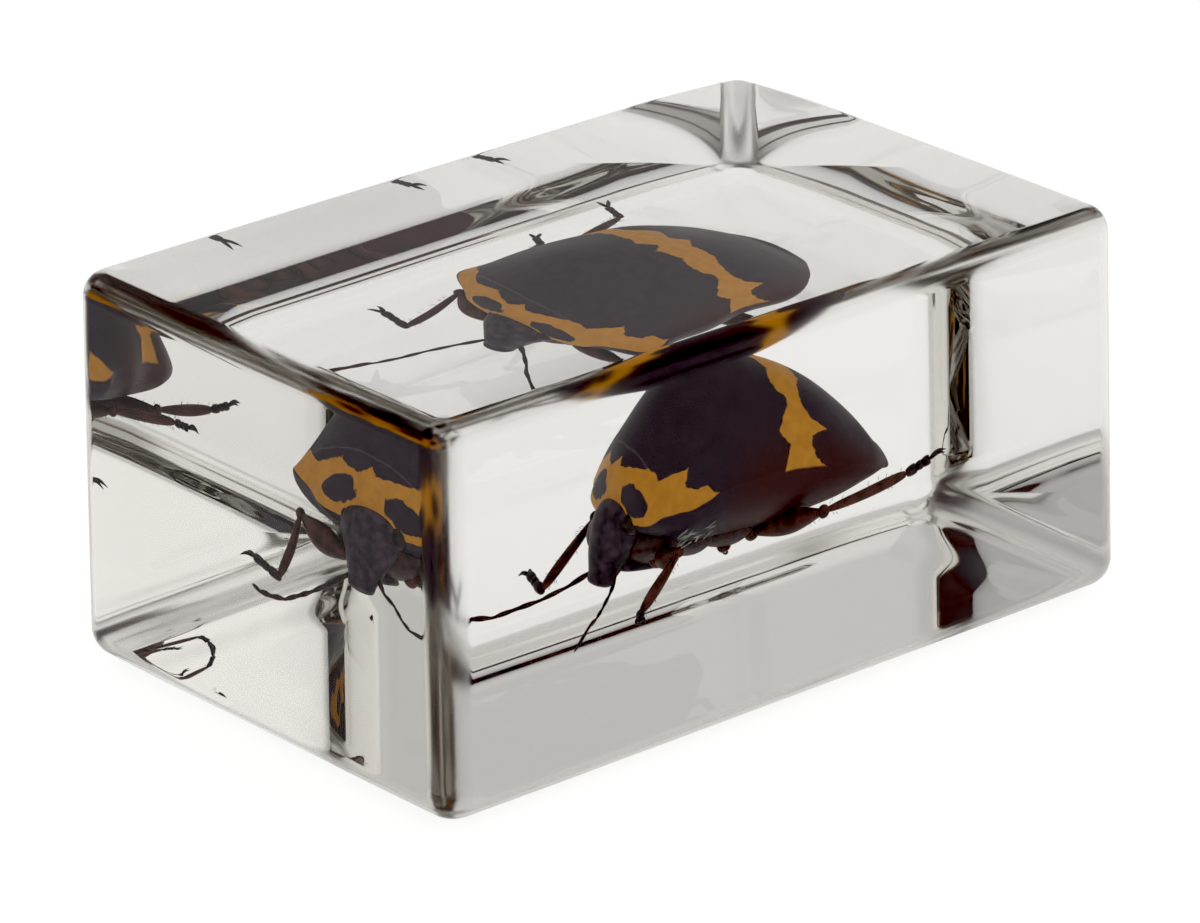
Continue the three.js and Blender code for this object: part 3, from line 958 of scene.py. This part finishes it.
class SPECIMEN_OT_insect_limbs(bpy.types.Operator):
    """Build the antennae, the five legs and the stump of the sixth"""

    bl_idname = "specimen.insect_limbs"
    bl_label = "Insect Limbs"

    def execute(self, context):
        settings = context.scene.insect
        chance = random.Random(7)
        leg_skin = plain_cuticle_finish("Legs", settings.legs, 9000.0, 0.38, 0.25)
        foot_skin = plain_cuticle_finish("Feet", FOOT_COLOUR, 9000.0, 0.38, 0.25)
        for name, joints in LEGS.items():
            leg = InsectPiece()
            foot = InsectPiece()
            self.leg(leg, foot, joints, chance)
            leg.build(f"leg_{name}", leg_skin)
            foot.build(f"foot_{name}", foot_skin)
        stump = InsectPiece()
        stump.add(bent_rod(STUMP))
        end = np.array(STUMP[-1][:3])
        for angle in STUMP_SPLINTERS:
            splinter = end + SPLINTER_LENGTH * np.array((math.cos(angle), math.sin(angle), -0.5))
            stump.add(rod(end + (splinter - end) * 0.4, splinter, *SPLINTER_RADII, sides=6, rings=6))
        stump.build("leg_middle_left_stump", leg_skin)
        feeler_skin = plain_cuticle_finish("Antennae", ANTENNA_COLOUR, 12000.0, 0.5, 0.15)
        for name, joints in ANTENNAE.items():
            feeler = InsectPiece()
            joints = np.array(joints)
            feeler.add(bent_rod(thickened(joints, FEELER_CORE), sides=12, rings=72, bluntness=0.12))
            for start, end in zip(joints, joints[1:]):
                near, far = start + (end - start) * FEELER_GAP, end + (start - end) * FEELER_GAP
                radii = near[3] * FEELER_JOINT[0], far[3] * FEELER_JOINT[1]
                feeler.add(rod(near[:3], far[:3], *radii, FEELER_SWELL, sides=12, rings=14))
            feeler.build(f"antenna_{name}", feeler_skin)
        return {"FINISHED"}

    def leg(self, leg, foot, joints, chance):
        """Hip, thigh and shin with bristles, and a foot of three joints and two claws."""
        hip, thigh_start, thigh, knee, shin, ankle, toe, tip = np.array(joints)
        leg.add(bent_rod(thickened((hip, (hip + thigh_start) / 2, thigh_start), HIP_SHARES)))
        hip_middle = hip[:3] * (1 - HIP_PLACE) + thigh_start[:3] * HIP_PLACE
        leg.add(ball(hip_middle, HIP_HALF_SIZES, 16, 20))
        leg.add(ball(thigh_start[:3], (thigh_start[3] * THIGH_BALL,) * 3, 12, 16))
        leg.add(bent_rod(thickened((thigh_start, thigh, knee), THIGH_SHARES), rings=26))
        leg.add(ball(knee[:3], (knee[3] * KNEE_BALL,) * 3, 10, 14))
        leg.add(bent_rod(thickened((knee, shin, ankle), SHIN_SHARES), rings=26))
        for near, far, wide in FOOT_JOINTS:
            start = ankle + (toe - ankle) * near
            end = ankle + (toe - ankle) * far
            radii = [toe[3] * share * wide for share in FOOT_TAPER]
            foot.add(rod(start[:3], end[:3], *radii, sides=14, rings=14, bluntness=0.18))
        ahead = tip[:3] - toe[:3]
        side = np.cross(ahead, (0.0, 0.0, 1.0))
        side /= np.linalg.norm(side)
        for way in (-1, 1):
            stops = [(*toe[:3], toe[3] * CLAW_ROOT)]
            for share, (aside, up, radius) in zip((0.5, 1.0), (CLAW_MIDDLE, CLAW_TIP)):
                place = toe[:3] + share * ahead + aside * way * side + np.array((0, 0, up))
                stops.append((*place, radius))
            foot.add(bent_rod(stops, sides=8, rings=12))
        self.bristles(leg, thigh, knee, THIGH_BRISTLES, chance)
        self.bristles(leg, knee, ankle, SHIN_BRISTLES, chance)

    def bristles(self, leg, start, end, count, chance):
        """Short stiff hairs anywhere round a leg between two joints, leaning to the foot."""
        along = end[:3] - start[:3]
        lean = BRISTLE_LEAN * along / np.linalg.norm(along)
        for _ in range(count):
            share = chance.uniform(*BRISTLE_SPAN)
            root = start[:3] + along * share
            way = np.array([chance.gauss(0, 1) for _ in range(3)])
            way -= along * (way @ along) / (along @ along)
            way /= np.linalg.norm(way)
            thick = start[3] + (end[3] - start[3]) * share
            point = root + way * (thick + chance.uniform(*BRISTLE_LENGTHS)) + lean
            leg.add(rod(root + way * thick * BRISTLE_ROOT, point, *BRISTLE_RADII, sides=5, rings=4))


class SPECIMEN_OT_stage(bpy.types.Operator):
    """Lay the pale floor, set the soft light and place the camera"""

    bl_idname = "specimen.stage"
    bl_label = "Stage"

    def execute(self, context):
        scene = context.scene
        view = scene.specimen_stage
        self.floor()
        away = Vector(
            (
                math.sin(view.azimuth) * math.cos(view.elevation),
                -math.cos(view.azimuth) * math.cos(view.elevation),
                math.sin(view.elevation),
            )
        )
        right = (-away).cross(Vector((0, 0, 1))).normalized()
        up = away.cross(right)
        level_turn = Matrix.Rotation(view.roll, 3, away)
        middle = Vector((0, 0, scene.resin_block.height / 2))
        place = middle + away * view.distance + level_turn @ (right * view.aim_right + up * view.aim_up)
        camera = bpy.data.objects.new("camera", bpy.data.cameras.new("camera"))
        camera.data.lens = view.lens
        camera.data.sensor_width = SENSOR_WIDTH
        camera.data.clip_start, camera.data.clip_end = CAMERA_CLIP
        turned = Matrix((level_turn @ right, level_turn @ up, away)).transposed()
        camera.matrix_world = Matrix.Translation(place) @ turned.to_4x4()
        scene.collection.objects.link(camera)
        scene.camera = camera
        self.light(scene, away)
        return {"FINISHED"}

    def floor(self):
        """A wide pale floor that glows a little, so that it stays white round the block."""
        signs = ((-1, -1), (1, -1), (1, 1), (-1, 1))
        corners = [(x * FLOOR_REACH, y * FLOOR_REACH, -FLOOR_DROP) for x, y in signs]
        obj = mesh_object("floor", corners, [(0, 1, 2, 3)], False)
        material, shader, surface = new_material("Floor")
        place = shader.node("ShaderNodeTexCoord").outputs["Object"]
        surface.inputs["Roughness"].default_value = 0.9
        surface.inputs["Specular IOR Level"].default_value = 0.0
        shader.feed(surface.inputs["Base Color"], shader.mix(shader.noise(place, 25.0), *FLOOR_TONES))
        surface.inputs["Emission Color"].default_value = (1, 1, 1, 1)
        surface.inputs["Emission Strength"].default_value = FLOOR_GLOW
        obj.data.materials.append(material)

    def light(self, scene, away):
        """An even sky, brighter overhead and to the camera's side, and a soft panel at the front right."""
        world = bpy.data.worlds.new("World")
        world.use_nodes = True
        scene.world = world
        shader = Shader(world.node_tree)
        way = shader.node("ShaderNodeTexCoord").outputs["Generated"]
        parts = shader.node("ShaderNodeSeparateXYZ", {0: way}).outputs
        level = Vector((away.x, away.y, 0)).normalized()
        toward = shader.vector("DOT_PRODUCT", {0: way, 1: level}, "Value")
        panel = shader.vector("DOT_PRODUCT", {0: way, 1: PANEL_WAY}, "Value")
        strength = shader.product(
            shader.rise(parts["Z"], *SKY_TOP, SKY_STRENGTH),
            shader.rise(toward, *SKY_NEAR, 1.0),
            shader.math("MULTIPLY_ADD", parts["X"], SKY_RIGHT, SKY_MIDDLE),
        )
        soft_panel = shader.product(shader.step(panel, *PANEL_EDGE), PANEL_STRENGTH)
        background = world.node_tree.nodes["Background"]
        shader.feed(background.inputs["Color"], SKY_COLOUR)
        shader.feed(background.inputs["Strength"], shader.math("ADD", strength, soft_panel))
        scene.view_settings.view_transform = "Standard"
        scene.view_settings.use_curve_mapping = True
        scene.view_settings.curve_mapping.black_level = (BLACK_LEVEL,) * 3
        scene.view_settings.curve_mapping.update()
        scene.cycles.max_bounces = LIGHT_BOUNCES
        scene.cycles.transmission_bounces = LIGHT_BOUNCES
        scene.cycles.glossy_bounces = LIGHT_BOUNCES
        scene.cycles.use_denoising = True


class SPECIMEN_PT_panel(bpy.types.Panel):
    bl_idname = "SPECIMEN_PT_panel"
    bl_label = "Insect in Resin Block"
    bl_space_type = "VIEW_3D"
    bl_region_type = "UI"
    bl_category = "Specimen"

    def draw(self, context):
        layout = self.layout
        for operator in BUILDERS:
            layout.operator(operator.bl_idname)
        for group in SETTINGS:
            settings = getattr(context.scene, group)
            column = layout.column()
            for name in settings.bl_rna.properties.keys():
                if name not in ("rna_type", "name"):
                    column.prop(settings, name)


SETTINGS = {"resin_block": ResinBlockSettings, "insect": InsectSettings, "specimen_stage": StageSettings}
BUILDERS = (
    SPECIMEN_OT_resin_block,
    SPECIMEN_OT_insect_carapace,
    SPECIMEN_OT_insect_head,
    SPECIMEN_OT_insect_breast,
    SPECIMEN_OT_insect_limbs,
    SPECIMEN_OT_stage,
)


def register():
    for cls in (*SETTINGS.values(), *BUILDERS, SPECIMEN_PT_panel):
        bpy.utils.register_class(cls)
    for name, cls in SETTINGS.items():
        setattr(bpy.types.Scene, name, PointerProperty(type=cls))


def unregister():
    for name in SETTINGS:
        delattr(bpy.types.Scene, name)
    for cls in reversed((*SETTINGS.values(), *BUILDERS, SPECIMEN_PT_panel)):
        bpy.utils.unregister_class(cls)


def main():
    register()
    bpy.ops.specimen.resin_block()
    bpy.ops.specimen.insect_carapace()
    bpy.ops.specimen.insect_head()
    bpy.ops.specimen.insect_breast()
    bpy.ops.specimen.insect_limbs()
    bpy.ops.specimen.stage()


if __name__ == "__main__":
    main()
